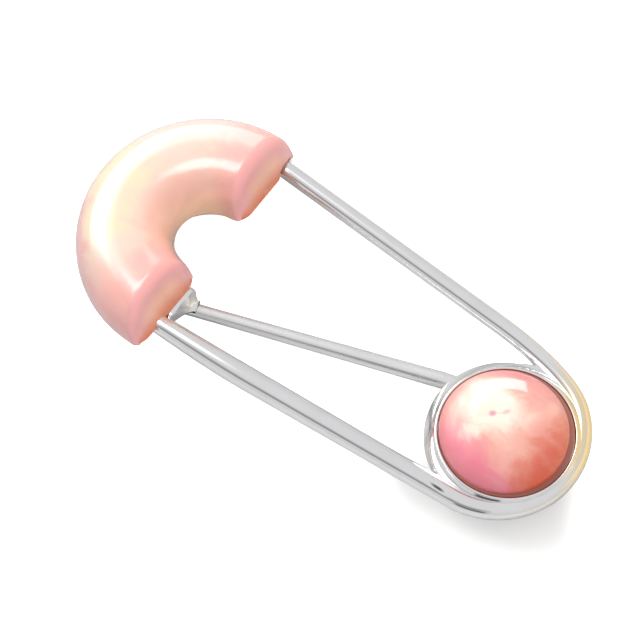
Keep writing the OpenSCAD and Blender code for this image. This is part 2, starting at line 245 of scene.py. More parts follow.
class Plan:
    """The brooch's shared places, in metres, in the frame's own axes."""

    def __init__(self, scene):
        horn, cup, wire = scene.brooch_horn, scene.brooch_cup, scene.brooch_wire
        self.horn_x = HORN_LOW.x + horn.radius
        self.end_x = self.horn_x + horn.leg
        self.base_z = HORN_LOW.z
        self.under_z = self.base_z - cup.gap
        self.plate_z = self.under_z - horn.plate
        self.wire_z = self.base_z - wire.wire / 4
        self.cup_c = Vector(((ROUND_LOW.x + ROUND_HIGH.x) / 2, (ROUND_LOW.y + ROUND_HIGH.y) / 2))
        self.cup_in = cup.radius + cup.gap
        self.cup_r = self.cup_in + cup.wall
        self.seat_z = ROUND_LOW.z - cup.gap
        self.cup_z = self.seat_z - cup.floor
        self.lip_z = ROUND_LOW.z + cup.side + cup.gap
        self.bend_c = self.cup_c + Vector((-wire.bend_back, wire.bend_side))
        self.bend_r = self.cup_r + wire.wire / 2 - wire.bend_bite
        self.upper_root = Vector((self.end_x, horn.radius - wire.root_upper))
        self.lower_root = Vector((self.end_x, wire.root_lower - horn.radius))
        self.upper_off = self.leaving(self.upper_root, -1)
        self.shoulder = Vector((self.cup_c.x - wire.shoulder, self.bend_c.y + self.bend_r + wire.shoulder_out))
        self.lower_off = self.leaving(self.lower_root, 1)
        self.scar = Vector((self.cup_c.x - 2.17 * MM, self.cup_c.y - 8.36 * MM, self.wire_z))
        self.pivot = Vector(((RIVET_LOW.x + RIVET_HIGH.x) / 2, (RIVET_LOW.y + RIVET_HIGH.y) / 2))
        self.pin_z = PIN_LOW.z + (PIN_HIGH.z - PIN_LOW.z) / 2
        self.mouth = Vector((self.end_x + 1.35 * MM, -(horn.radius - horn.width) - 2.35 * MM))
        to_mouth = self.mouth - self.pivot
        self.pin_a = math.atan2(to_mouth.y, to_mouth.x)
        self.pin_way = to_mouth.normalized()
        self.pin_len = to_mouth.length + 4.4 * MM

    def leaving(self, root, side):
        """Angle on the bend at which a straight leg to the root leaves it."""
        away = root - self.bend_c
        return math.atan2(away.y, away.x) + side * math.acos(self.bend_r / away.length)

    def from_scar(self, x, y):
        """How far a place is from the scar's middle, where 1 is its edge."""
        along, across = x - self.scar.x, y - self.scar.y
        return math.hypot(along / SCAR_LENGTH, (across + along * SCAR_SLOPE) / SCAR_WIDTH)

    def on_bend(self, turn):
        return self.bend_c + self.bend_r * heading(turn)


def lower_leg(wire, plan):
    """The lower leg, thickest at a third of its length and bowed out by what it is thicker."""
    start = plan.on_bend(plan.lower_off)
    way = (plan.lower_root - start).normalized()
    out = Vector((-way.y, way.x))
    if out.dot(start - plan.cup_c) < 0:
        out = -out
    route = [(plan.lower_root + way * wire.root_run * k / 5, wire.root_share) for k in range(5, 0, -1)]
    for k in range(40):
        t = k / 40
        swell = math.sin(math.pi / 2 * t / 0.3) if t < 0.3 else 1.0 - 0.6 * (t - 0.3) / 0.7
        more = (wire.lower_share - wire.root_share) * swell
        route.append((plan.lower_root.lerp(start, t) + out * more * wire.wire * wire.bow, wire.root_share + more))
    return route


def bend(wire, plan):
    """The bend round the cup, thinning towards the upper leg."""
    more = (wire.lower_share - wire.root_share) * 0.4
    first = wire.root_share + more
    sweep = wire.bend_end - plan.lower_off
    route = []
    for k in range(97):
        t = k / 96
        turn = plan.lower_off + sweep * t
        pull = wire.bend_pull * eased(clamped(turn / math.radians(70) + 1))
        swell = more * (1 - t) * wire.wire * wire.bow
        thick = first + (wire.upper_share - first) * t
        route.append((plan.bend_c + heading(turn) * (plan.bend_r - pull + swell), thick))
    return route


def upper_leg(wire, plan):
    """From the end of the bend, smoothly over the shoulder and straight on to the half ring."""
    start = plan.bend_c + heading(wire.bend_end) * (plan.bend_r - wire.bend_pull)
    leg = (plan.upper_root - plan.shoulder).normalized()
    reach = (plan.shoulder - start).length * 0.8
    out, back = heading(wire.bend_end).orthogonal() * reach, leg * reach
    route = []
    for k in range(1, 33):
        t = k / 32
        u = eased(t)
        p = start * (1 - u) + plan.shoulder * u + out * (t * (1 - t) ** 2) + back * (t * t * (t - 1))
        route.append((p, wire.upper_share))
    for k in range(1, 33):
        route.append((plan.shoulder.lerp(plan.upper_root, k / 32), wire.upper_share))
    for k in range(1, 6):
        route.append((plan.upper_root + leg * wire.root_run * k / 5, wire.upper_share))
    return route


def wire_route(wire, plan):
    """The wire's centre line and thickness, from the lower leg's root round the cup to the upper leg's root."""
    return lower_leg(wire, plan) + bend(wire, plan) + upper_leg(wire, plan)


# ---- Meshes


def finished(name, shell, mesh, smooth_angle):
    """An object from a shell, with its faces outwards, smooth but for edges sharper than the angle."""
    bmesh.ops.remove_doubles(shell, verts=shell.verts, dist=1e-8)
    bmesh.ops.dissolve_degenerate(shell, edges=shell.edges, dist=1e-9)
    bmesh.ops.recalc_face_normals(shell, faces=shell.faces)
    shell.to_mesh(mesh)
    shell.free()
    mesh.shade_smooth()
    mesh.set_sharp_from_angle(angle=math.radians(smooth_angle))
    made = bpy.data.objects.new(name, mesh)
    bpy.context.scene.collection.objects.link(made)
    return made


def piece_from(name, points, faces, smooth_angle=38):
    """A closed piece from its points and faces."""
    shell = bmesh.new()
    corners = [shell.verts.new(p) for p in points]
    for face in faces:
        shell.faces.new([corners[i] for i in face])
    return finished(name, shell, bpy.data.meshes.new(name), smooth_angle)


def between_rings(rings, n):
    """Faces between each ring of n points and the next."""
    return [
        (k * n + i, k * n + (i + 1) % n, (k + 1) * n + (i + 1) % n, (k + 1) * n + i)
        for k in range(rings - 1)
        for i in range(n)
    ]


def closed_tube(rings, n):
    """Faces between the rings and over both ends."""
    return between_rings(rings, n) + [tuple(range(n)), tuple(range((rings - 1) * n, rings * n))]


def revolved(profile, centre, start=0.0, sweep=2 * math.pi, steps=96):
    """Points and faces of a closed profile of (radius, z) turned about an upright axis."""
    whole = sweep > 2 * math.pi - 1e-6
    rings = steps if whole else steps + 1
    n = len(profile)
    points = []
    for i in range(rings):
        turn = start + sweep * i / steps
        for r, z in profile:
            points.append((centre.x + r * math.cos(turn), centre.y + r * math.sin(turn), z))
    faces = []
    for i in range(steps):
        a, b = i * n, ((i + 1) % rings) * n
        for j in range(n):
            k = (j + 1) % n
            faces.append((a + j, b + j, b + k, a + k))
    if not whole:
        faces.append(tuple(range(n)))
        faces.append(tuple(range((rings - 1) * n, rings * n)))
    return points, faces


def turned(name, outline, centre, steps=160, smooth_angle=38):
    """A solid turned about an upright axis, from an outline of (radius, z) that starts and ends on the axis."""
    points, faces = [], []
    n = len(outline) - 2
    for i in range(steps):
        turn = 2 * math.pi * i / steps
        for r, z in outline[1:-1]:
            points.append((centre.x + r * math.cos(turn), centre.y + r * math.sin(turn), z))
    low, high = len(points), len(points) + 1
    points.append((centre.x, centre.y, outline[0][1]))
    points.append((centre.x, centre.y, outline[-1][1]))
    for i in range(steps):
        a, b = i * n, ((i + 1) % steps) * n
        for j in range(n - 1):
            faces.append((a + j, b + j, b + j + 1, a + j + 1))
        faces.append((low, b, a))
        faces.append((high, a + n - 1, b + n - 1))
    return piece_from(name, points, faces, smooth_angle)


def box_profile(r0, r1, z0, z1, bevel):
    """A rectangle with cut corners, as a closed profile for revolved()."""
    return [
        (r0 + bevel, z0), (r1 - bevel, z0), (r1, z0 + bevel), (r1, z1 - bevel),
        (r1 - bevel, z1), (r0 + bevel, z1), (r0, z1 - bevel), (r0, z0 + bevel),
    ]


def joined(parts, name):
    """One mesh of several parts' points and faces."""
    points, faces = [], []
    for more, theirs in parts:
        faces += [tuple(i + len(points) for i in face) for face in theirs]
        points += more
    return piece_from(name, points, faces)


def slab(outline, z0, z1, bevel):
    """Points and faces of an upright prism with bevelled upper and lower edges."""
    n = len(outline)
    area = sum(Vector(p).cross(Vector(q)) for p, q in zip(outline, outline[1:] + outline[:1]))
    side = 1 if area > 0 else -1

    def inset(d):
        moved = []
        for i in range(n):
            p, q, r = (Vector(outline[(i + k) % n]) for k in (-1, 0, 1))
            a, b = (q - p).normalized(), (r - q).normalized()
            na, nb = Vector((-a.y, a.x)) * side, Vector((-b.y, b.x)) * side
            mid = na + nb
            moved.append(q + mid * (d / max(0.35, mid.dot(na))))
        return moved

    rings = [(inset(bevel), z0), (inset(0), z0 + bevel), (inset(0), z1 - bevel), (inset(bevel), z1)]
    return [(p.x, p.y, z) for ring, z in rings for p in ring], closed_tube(4, n)


# ---- Geometry node trees


class Rule:
    """A number in a geometry node tree, so that a shape's rule reads like a formula."""

    def __init__(self, tree, socket):
        self.tree, self.socket = tree, socket

    def also(self, kind, *others):
        node = self.tree.nodes.new("ShaderNodeMath")
        node.operation = kind
        for i, value in enumerate((self, *others)):
            if isinstance(value, Rule):
                self.tree.links.new(value.socket, node.inputs[i])
            else:
                node.inputs[i].default_value = value
        return Rule(self.tree, node.outputs[0])

    def __add__(self, other):
        return self.also("ADD", other)

    def __sub__(self, other):
        return self.also("SUBTRACT", other)

    def __mul__(self, other):
        return self.also("MULTIPLY", other)

    def __truediv__(self, other):
        return self.also("DIVIDE", other)

    def __pow__(self, other):
        return self.also("POWER", other)

    def pick(self, yes, no):
        """yes where this is 1, no where it is 0."""
        return self * yes + (self * -1 + 1) * no


def new_tree(name, inputs):
    """A geometry node tree with a geometry input, the named inputs, and a geometry output."""
    tree = bpy.data.node_groups.new(name, "GeometryNodeTree")
    tree.interface.new_socket("Geometry", in_out="INPUT", socket_type="NodeSocketGeometry")
    tree.interface.new_socket("Geometry", in_out="OUTPUT", socket_type="NodeSocketGeometry")
    for label, kind in inputs:
        tree.interface.new_socket(label, in_out="INPUT", socket_type=kind)
    source, result = tree.nodes.new("NodeGroupInput"), tree.nodes.new("NodeGroupOutput")
    return tree, source, result


def chain(tree, source, steps, material, result):
    """Runs the geometry through the steps, realizes instances, sets the material and links the output."""
    link = tree.links.new
    last = source
    for node in steps:
        link(last, node.inputs[0])
        last = node.outputs[0]
    real, paint = tree.nodes.new("GeometryNodeRealizeInstances"), tree.nodes.new("GeometryNodeSetMaterial")
    link(last, real.inputs["Geometry"])
    link(real.outputs[0], paint.inputs["Geometry"])
    link(material, paint.inputs["Material"])
    link(paint.outputs[0], result.inputs[0])


HALF_RING_FIELDS = ("turn", "along", "past", "inset", "lift")


def named(tree, name):
    node = tree.nodes.new("GeometryNodeInputNamedAttribute")
    node.data_type = "FLOAT"
    node.inputs["Name"].default_value = name
    return Rule(tree, node.outputs["Attribute"])


def tube_tree():
    """A round tube along the edges of a mesh, as thick as its thickness attribute says."""
    tree, source, result = new_tree(
        "Round Tube On A Path",
        [("Radius", "NodeSocketFloat"), ("Sides", "NodeSocketInt"), ("Material", "NodeSocketMaterial")],
    )
    path = tree.nodes.new("GeometryNodeMeshToCurve")
    ring = tree.nodes.new("GeometryNodeCurvePrimitiveCircle")
    tube = tree.nodes.new("GeometryNodeCurveToMesh")
    tree.links.new(source.outputs["Sides"], ring.inputs["Resolution"])
    tree.links.new(source.outputs["Radius"], ring.inputs["Radius"])
    tree.links.new(ring.outputs["Curve"], tube.inputs["Profile Curve"])
    tree.links.new(named(tree, "thickness").socket, tube.inputs["Scale"])
    tube.inputs["Fill Caps"].default_value = True
    chain(tree, source.outputs["Geometry"], [path, tube], source.outputs["Material"], result)
    return tree


def half_ring_tree():
    """A domed section swept round a half ring and along its two legs, with leaning, rounded ends."""
    sizes = (
        "Outer Radius", "Width", "Height", "Fullness", "Leg", "Lean",
        "End Rounding", "Corner Rounding", "Inner Flare", "Inner Corner", "Centre X", "Base Z",
    )
    tree, source, result = new_tree(
        "Domed Half Ring", [(s, "NodeSocketFloat") for s in sizes] + [("Material", "NodeSocketMaterial")]
    )
    radius, width, height, full, leg, lean, crest, corner, flare, nose, centre, base = (
        Rule(tree, source.outputs[s]) for s in sizes
    )
    turn, along, past, inset, lift = (named(tree, n) for n in HALF_RING_FIELDS)
    c, up = turn.also("COSINE"), turn.also("SINE").also("ABSOLUTE")
    rounding = corner + (crest - corner) * up
    power = (full * 0 + 2) / full
    narrow = (inset * rounding * 2 / width) * -1 + 1
    s = c.also("SIGN") * c.also("ABSOLUTE") ** power * width * 0.5 * narrow
    inner = (c * -0.5 + 0.5) * flare * (along.also("ABSOLUTE") ** 4.0)
    low = (inset * rounding / height) * -1 + 1
    z = up ** power * height * low * lift
    r = radius - width * 0.5 + s + inner
    end = leg - lean * z / height
    before = end.also("LESS_THAN", 0.0)
    arc_end = r * (end / r).also("ARCSINE")
    inner_tip = ((c * -1 - 0.75) / 0.25).also("MAXIMUM", 0.0) ** 2.0
    outer_tip = ((c - 0.75) / 0.25).also("MAXIMUM", 0.0) ** 2.0
    tip = inner_tip + outer_tip * 0.8
    half = r * (math.pi / 2) + before.pick(arc_end, end) - tip * nose * along.also("ABSOLUTE") ** 12.0
    run = along * (half - rounding) + past * rounding
    a = run / r
    straight = a.also("ABSOLUTE").also("GREATER_THAN", math.pi / 2)
    x = straight.pick(run.also("ABSOLUTE") - r * (math.pi / 2), r * a.also("COSINE") * -1)
    y = straight.pick(run.also("SIGN") * r, r * a.also("SINE"))
    place = tree.nodes.new("ShaderNodeCombineXYZ")
    for socket, value in zip(place.inputs, (x + centre, y, z + base)):
        tree.links.new(value.socket, socket)
    put = tree.nodes.new("GeometryNodeSetPosition")
    tree.links.new(place.outputs[0], put.inputs["Position"])
    merge = tree.nodes.new("GeometryNodeMergeByDistance")
    merge.inputs["Distance"].default_value = 1e-7
    chain(tree, source.outputs["Geometry"], [put, merge], source.outputs["Material"], result)
    return tree


def grown(name, source, tree, values, smooth_angle=38):
    """Runs a tree on a source mesh with the named values, and gives the result as a plain mesh object."""
    carrier = bpy.data.objects.new(name + "_source", source)
    bpy.context.scene.collection.objects.link(carrier)
    modifier = carrier.modifiers.new("Rule", "NODES")
    modifier.node_group = tree
    for item in tree.interface.items_tree:
        if item.in_out == "INPUT" and item.name in values:
            modifier[item.identifier] = values[item.name]
    bpy.context.view_layer.update()
    evaluated = carrier.evaluated_get(bpy.context.evaluated_depsgraph_get())
    mesh = bpy.data.meshes.new_from_object(evaluated)
    mesh.name = name
    shell = bmesh.new()
    shell.from_mesh(mesh)
    made = finished(name, shell, mesh, smooth_angle)
    if "thickness" in mesh.attributes:
        mesh.attributes.remove(mesh.attributes["thickness"])
    carrier.modifiers.remove(modifier)
    bpy.data.objects.remove(carrier)
    return made


def path_mesh(name, points, thickness):
    mesh = bpy.data.meshes.new(name)
    mesh.from_pydata(points, [(i, i + 1) for i in range(len(points) - 1)], [])
    values = mesh.attributes.new("thickness", "FLOAT", "POINT")
    values.data.foreach_set("value", thickness)
    return mesh


def grid_mesh(name, rows, columns):
    """A tube of quads whose points carry what the half ring's rule reads."""
    n = len(columns)
    mesh = bpy.data.meshes.new(name)
    mesh.from_pydata([(i, j, 0) for i in range(len(rows)) for j in range(n)], [], between_rings(len(rows), n))
    fields = {field: [] for field in HALF_RING_FIELDS}
    for along, past, inset, up in rows:
        for turn, lift in columns:
            for key, value in zip(fields, (turn, along, past, inset, lift * up)):
                fields[key].append(value)
    for key, values in fields.items():
        mesh.attributes.new(key, "FLOAT", "POINT").data.foreach_set("value", values)
    return mesh


# ---- Materials


class Nodes:
    """A shader node tree, with short ways to add nodes to it."""

    def __init__(self, tree):
        self.tree = tree

    def feed(self, socket, value):
        """Links a socket to a node's output, or sets it to a number, a place or a colour."""
        if isinstance(value, bpy.types.NodeSocket):
            self.tree.links.new(value, socket)
        elif socket.type == "RGBA":
            socket.default_value = (*value[:3], 1)
        else:
            socket.default_value = value

    def node(self, kind, **values):
        made = self.tree.nodes.new(kind)
        for key, value in values.items():
            self.feed(made.inputs[key.replace("_", " ").title()], value)
        return made

    def noise(self, where, scale, detail=3.0, roughness=0.5, distortion=0.0):
        return self.node(
            "ShaderNodeTexNoise", Vector=where, Scale=scale, Detail=detail, Roughness=roughness, Distortion=distortion
        ).outputs["Fac"]

    def ramp(self, fac, stops):
        made = self.node("ShaderNodeValToRGB", Fac=fac)
        band = made.color_ramp
        band.interpolation = "EASE"
        band.elements[0].position, band.elements[0].color = stops[0][0], (*stops[0][1], 1)
        band.elements[1].position, band.elements[1].color = stops[-1][0], (*stops[-1][1], 1)
        for position, tint in stops[1:-1]:
            band.elements.new(position).color = (*tint, 1)
        return made.outputs["Color"]

    def level(self, fac, low, high, out_low=0.0, out_high=1.0):
        made = self.node("ShaderNodeMapRange", Value=fac)
        made.interpolation_type = "SMOOTHSTEP"
        for key, value in zip(("From Min", "From Max", "To Min", "To Max"), (low, high, out_low, out_high)):
            made.inputs[key].default_value = value
        return made.outputs["Result"]

    def mix(self, fac, a, b, blend="MIX"):
        made = self.tree.nodes.new("ShaderNodeMix")
        made.data_type, made.blend_type = "RGBA", blend
        for socket, value in zip((made.inputs["Factor"], made.inputs[6], made.inputs[7]), (fac, a, b)):
            self.feed(socket, value)
        return made.outputs[2]

    def parts(self, vector):
        return self.node("ShaderNodeSeparateXYZ", Vector=vector).outputs

    def math(self, kind, a, b=0.0):
        made = self.tree.nodes.new("ShaderNodeMath")
        made.operation = kind
        for socket, value in zip(made.inputs, (a, b)):
            self.feed(socket, value)
        return made.outputs[0]

    def times(self, a, b):
        return self.math("MULTIPLY", a, b)

    def plus(self, a, b):
        return self.math("ADD", a, b)

    def minus(self, a, b):
        return self.math("SUBTRACT", a, b)

    def radius(self, a, b):
        """How far a place is from the middle, from its two distances across and along."""
        return self.math("SQRT", self.plus(self.math("POWER", a, 2.0), self.math("POWER", b, 2.0)))

    def window(self, value, low, high, soft_low, soft_high):
        """1 between low and high, fading to 0 over the two soft widths outside them."""
        rise = self.level(value, low - soft_low, low)
        return self.times(rise, self.level(value, high, high + soft_high, 1.0, 0.0))

    def field(self, name):
        node = self.tree.nodes.new("ShaderNodeAttribute")
        node.attribute_name = name
        return node.outputs["Fac"]


class Paint(Nodes):
    """A piece's material on its own coordinates."""

    def __init__(self, name):
        self.material = bpy.data.materials.new(name)
        self.material.use_nodes = True
        super().__init__(self.material.node_tree)
        self.shader = self.tree.nodes["Principled BSDF"]
        self.place = self.tree.nodes.new("ShaderNodeTexCoord").outputs["Object"]

    def set(self, **values):
        for key, value in values.items():
            self.feed(self.shader.inputs[key.replace("_", " ").title().replace("Ior", "IOR")], value)

    def centred(self, centre, turn=0.0, size=(1, 1, 1)):
        """The object's own coordinates, measured from a point, turned about z and scaled."""
        shifted = self.tree.nodes.new("ShaderNodeVectorMath")
        shifted.operation = "SUBTRACT"
        self.feed(shifted.inputs[0], self.place)
        self.feed(shifted.inputs[1], centre)
        mapped = self.node("ShaderNodeMapping", Vector=shifted.outputs[0], Rotation=(0, 0, turn), Scale=size)
        return mapped.outputs[0]

    def bump(self, height, strength, distance):
        made = self.node("ShaderNodeBump", Height=height, Strength=strength, Distance=distance)
        self.set(normal=made.outputs[0])


def polished_metal(name, tint, satin, bright, warm, scar_shade, scar):
    """White metal, a little duller on the legs than round the cup, with faint wear, painted shade in the scar and a
    painted warm reflection on the bend.
    """
    paint = Paint(name)
    paint.set(metallic=1.0)
    x = paint.parts(paint.place)[0]
    cloud = paint.noise(paint.place, 260.0, 3.0, 0.5)
    wear = paint.noise(paint.centred((0, 0, 0), 0.6, (1, 3, 1)), 330.0, 2.0, 0.5)
    base = paint.mix(paint.level(cloud, 0.3, 0.7), [0.96 * t for t in tint], tint)
    # Painted warm reflection: the metal turns warm towards the camera's right, on the outside of the bend.
    right = paint.parts(paint.centred((0, 0, 0), -VIEW_AZ))[0]
    base = paint.mix(paint.level(right, 20.5 * MM, 24.5 * MM), base, warm)
    # Painted shade: near-black on the upper side of the scar, in the crevice between the lower leg and the cup.
    off = paint.parts(paint.centred((scar.x, scar.y, 0), SCAR_SLOPE, (1 / SCAR_LENGTH, 1 / SCAR_SHADE_WIDTH, 0)))
    off = paint.radius(off[0], off[1])
    above = paint.level(paint.parts(paint.place)[2], scar.z, scar.z + 0.3 * MM)
    base = paint.mix(paint.times(above, paint.level(off, 0.35, 1.1, 0.9, 0.0)), base, scar_shade)
    paint.set(base_color=base)
    polish = paint.level(x, 3 * MM, 12 * MM, satin, bright)
    spread = paint.level(wear, 0.3, 0.7, 0.9, 1.1)
    paint.set(roughness=paint.times(polish, spread))
    return paint.material


def half_ring_material(scene, plan):
    """Polished pink shell: rosy outer rim and ends, peach inside, beige end faces, soft clouds, a painted sheen on the
    outer side and painted shade in the dent.
    """
    tints = scene.brooch_colours
    paint = Paint("rosy_half_ring_shell")
    turn, along, past, lift = (paint.field(f) for f in ("turn", "along", "past", "lift"))
    middle = (plan.horn_x, 0.0, plan.base_z)
    clouds = paint.noise(paint.centred(middle, 0.4, (1, 1.4, 1)), 170.0, 4.0, 0.55, 0.8)
    patches = paint.noise(paint.centred(middle, -0.3, (1, 1, 1)), 420.0, 5.0, 0.6, 1.2)
    drift = paint.level(clouds, 0.25, 0.75, -0.07, 0.07)
    across = paint.plus(paint.math("DIVIDE", turn, math.pi), drift)
    stops = ((0.0, "rim"), (0.12, "rim"), (0.3, "heart"), (0.5, "heart"), (0.68, "body"), (1.0, "inner"))
    base = paint.ramp(across, [(place, getattr(tints, key)) for place, key in stops])
    # Painted sheen: a pale patch along the outer side before the upper end, standing in for a broad reflection.
    sheen_patch = paint.window(paint.plus(along, drift), 0.2, 0.76, 0.3, 0.16)
    sheen_patch = paint.times(sheen_patch, paint.window(across, -0.3, 0.36, 0.1, 0.14))
    base = paint.mix(paint.times(sheen_patch, 0.85), base, tints.painted_sheen)
    creamy = paint.times(paint.window(along, -0.5, 0.1, 0.15, 0.2), paint.window(across, 0.3, 0.46, 0.12, 0.1))
    base = paint.mix(paint.times(creamy, 0.6), base, tints.cream)
    ends = paint.plus(paint.math("ABSOLUTE", along), drift)
    base = paint.mix(paint.level(ends, 0.6, 1.0, 0.0, 0.75), base, tints.end)
    reach = paint.math("ABSOLUTE", past)
    base = paint.mix(paint.level(reach, 0.05, 0.6, 0.0, 0.7), base, tints.ridge)
    cap = paint.level(reach, 0.8, 1.0)
    sideways = paint.plus(paint.math("ABSOLUTE", paint.math("COSINE", turn)), drift)
    middle_part = paint.level(lift, 0.5, 1.05, 1.0, 0.0)
    middle_part = paint.times(middle_part, paint.level(sideways, 0.3, 1.05, 1.0, 0.0))
    base = paint.mix(paint.times(cap, middle_part), base, tints.face)
    low = paint.times(cap, paint.level(lift, 0.0, 0.62, 1.0, 0.0))
    base = paint.mix(low, base, tints.edge)
    x, y, z = paint.parts(paint.place)[:3]
    side, rise = paint.minus(y, plan.upper_root.y), paint.minus(z, plan.wire_z)
    away = paint.radius(side, rise)
    # Painted shade: dark brown painted round the upper leg's end, in the dent in the end face.
    dent_shade = paint.level(away, 0.9 * MM, 1.7 * MM, 0.85, 0.0)
    dent_shade = paint.times(dent_shade, paint.level(x, plan.end_x - 2.4 * MM, plan.end_x - 1.6 * MM))
    base = paint.mix(dent_shade, base, tints.dent_shade)
    base = paint.mix(paint.level(patches, 0.45, 0.75, 0.0, 0.25), base, tints.heart)
    paint.set(base_color=base)
    paint.set(
        roughness=0.24, ior=1.6, subsurface_weight=0.25, subsurface_scale=0.0012,
        subsurface_radius=(1.0, 0.5, 0.4), coat_weight=1.0, coat_roughness=0.17, coat_ior=1.55,
    )
    paint.bump(paint.mix(0.5, clouds, patches), 0.05, 0.0004)
    return paint.material


def round_stone_material(scene, plan):
    """Polished pink shell with a milky cloud that is partly painted sheen, a rosy side, a coral side, two small marks,
    painted shade towards the rim and a painted reflection on the ledge.
    """
    tints, cup = scene.brooch_colours, scene.brooch_cup
    paint = Paint("rosy_round_shell")
    middle = (plan.cup_c.x, plan.cup_c.y, ROUND_LOW.z)
    local = paint.centred(middle, -VIEW_AZ)
    swirl = paint.node("ShaderNodeTexNoise", Vector=local, Scale=240.0, Detail=4.0, Roughness=0.6, Distortion=0.7)
    x, y, _ = paint.parts(local)[:3]
    off_x, off_y, _ = paint.parts(swirl.outputs["Color"])[:3]
    x = paint.plus(x, paint.level(off_x, 0.2, 0.8, -1.1 * MM, 1.1 * MM))
    y = paint.plus(y, paint.level(off_y, 0.2, 0.8, -1.1 * MM, 1.1 * MM))

    def lean(dx, dy):
        return paint.plus(paint.times(x, dx), paint.times(y, dy))

    def spot(cx, cy, rx, ry, turn=0.0, coords=(x, y)):
        """Distance from a place on the stone, in units of the spot's half width and height."""
        px, py = paint.minus(coords[0], cx), paint.minus(coords[1], cy)
        c, sn = math.cos(turn), math.sin(turn)
        u = paint.plus(paint.times(px, c / rx), paint.times(py, sn / rx))
        v = paint.plus(paint.times(px, -sn / ry), paint.times(py, c / ry))
        return paint.radius(u, v)

    stops = [(0.0, tints.peach), (0.4, tints.peach), (1.0, tints.coral)]
    base = paint.ramp(paint.level(lean(0.8, -0.6), -2.0 * MM, 6.5 * MM), stops)
    base = paint.mix(paint.level(lean(-0.72, -0.69), 2.2 * MM, 5.6 * MM, 0.0, 0.9), base, tints.rose)
    base = paint.mix(paint.level(lean(0.55, 0.84), 3.2 * MM, 6.2 * MM, 0.0, 0.8), base, tints.blush_and_rim_shade)
    silk = paint.noise(paint.centred(middle, -VIEW_AZ - 0.5, (1, 2.2, 1)), 190.0, 3.0, 0.5, 0.6)
    # The milky cloud is partly the shell's own milky zone and partly a painted sheen near the upper left of the dome.
    milk_and_sheen = paint.level(spot(-1.5 * MM, 1.9 * MM, 4.1 * MM, 3.5 * MM, -0.5), 0.35, 1.15, 0.9, 0.0)
    more_milk_and_sheen = paint.level(spot(-3.2 * MM, -0.6 * MM, 1.9 * MM, 1.3 * MM, 0.3), 0.2, 1.2, 0.75, 0.0)
    milk_and_sheen = paint.math("MAXIMUM", milk_and_sheen, more_milk_and_sheen)
    milk_and_sheen = paint.times(milk_and_sheen, paint.level(silk, 0.3, 0.6, 0.75, 1.0))
    base = paint.mix(milk_and_sheen, base, tints.milk_and_sheen)
    base = paint.mix(paint.level(silk, 0.45, 0.8, 0.0, 0.12), base, tints.milk_and_sheen)
    still = paint.parts(local)[:2]
    streak = paint.level(spot(-2.3 * MM, -4.3 * MM, 2.9 * MM, 0.4 * MM, -0.55, still), 0.4, 1.1, 0.55, 0.0)
    base = paint.mix(streak, base, tints.rose)
    marks = ((-1.45, 1.05, 0.4, 0.34, 0.3, 0.85), (-0.12, 1.2, 0.46, 0.27, 0.4, 0.5), (-0.8, 1.05, 0.8, 0.16, 0.1, 0.2))
    for cx, cy, rx, ry, slant, strength in marks:
        mark = paint.level(spot(cx * MM, cy * MM, rx * MM, ry * MM, slant, still), 0.3, 1.3, strength, 0.0)
        base = paint.mix(mark, base, tints.mark)
    dome = cup.radius - cup.ledge
    turn = cup.shift_way - VIEW_AZ
    rim = spot(cup.shift * math.cos(turn), cup.shift * math.sin(turn), dome, dome, 0.0, still)
    # Painted shade: darker blush towards the dome's edge, fading out towards the near right side.
    shaded = paint.level(lean(0.8, -0.6), -1.0 * MM, 3.5 * MM, 1.0, 0.0)
    shaded = paint.times(paint.level(rim, 0.78, 1.0, 0.0, 0.6), shaded)
    base = paint.mix(shaded, base, tints.blush_and_rim_shade)
    # Painted reflection: the ledge outside the dome turns dark red-brown, standing in for the stone reflected in the
    # cup's inner wall.
    base = paint.mix(paint.level(rim, 0.998, 1.004), base, tints.ledge)
    paint.set(base_color=base)
    dull = paint.level(spot(2.2 * MM, 0.8 * MM, 6.0 * MM, 5.6 * MM, 0.0, still), 0.7, 1.1)
    veins = paint.level(silk, 0.35, 0.65, -0.05, 0.05)
    rough = paint.plus(0.2, paint.times(dull, 0.3))
    paint.set(
        roughness=paint.plus(rough, veins), ior=1.6, subsurface_weight=0.2, subsurface_scale=0.001,
        subsurface_radius=(1.0, 0.45, 0.4), coat_weight=paint.level(dull, 0.0, 1.0, 1.0, 0.2),
        coat_roughness=0.06, coat_ior=1.55,
    )
    paint.bump(paint.mix(0.5, swirl.outputs["Fac"], silk), 0.12, 0.0005)
    return paint.material


def metal(scene, name, satin, bright, warm, scar_shade):
    """The metal of this name, made when it is first asked for."""
    silver, warm, scar_shade = (getattr(scene.brooch_colours, key)[:] for key in ("silver", warm, scar_shade))
    made = bpy.data.materials.get(name)
    return made or polished_metal(name, silver, satin, bright, warm, scar_shade, Plan(scene).scar)


def white_metal(scene):
    # The frame's metal carries the painted warm reflection and the painted shade in the scar.
    return metal(scene, "bright_white_metal", 0.12, 0.09, "painted_warm_reflection", "scar_shade")


def pin_metal(scene):
    return metal(scene, "satin_pin_metal", 0.24, 0.27, "silver", "silver")


def settle(made, body, material, slot, *nodes):
    """Gives a finished piece its material and its body, and hides the CAD nodes that it stands for. The slot is not
    used.
    """
    made.data.materials.clear()
    made.data.materials.append(material)
    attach(made, body)
    if nodes:
        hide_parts(*nodes)
    return made


def on_frame(scene, made):
    """Settles a finished piece of the soldered frame."""
    settle(made, "brooch", white_metal(scene), "white_metal", "frame")


# ---- Operators, one for each piece or group of like pieces


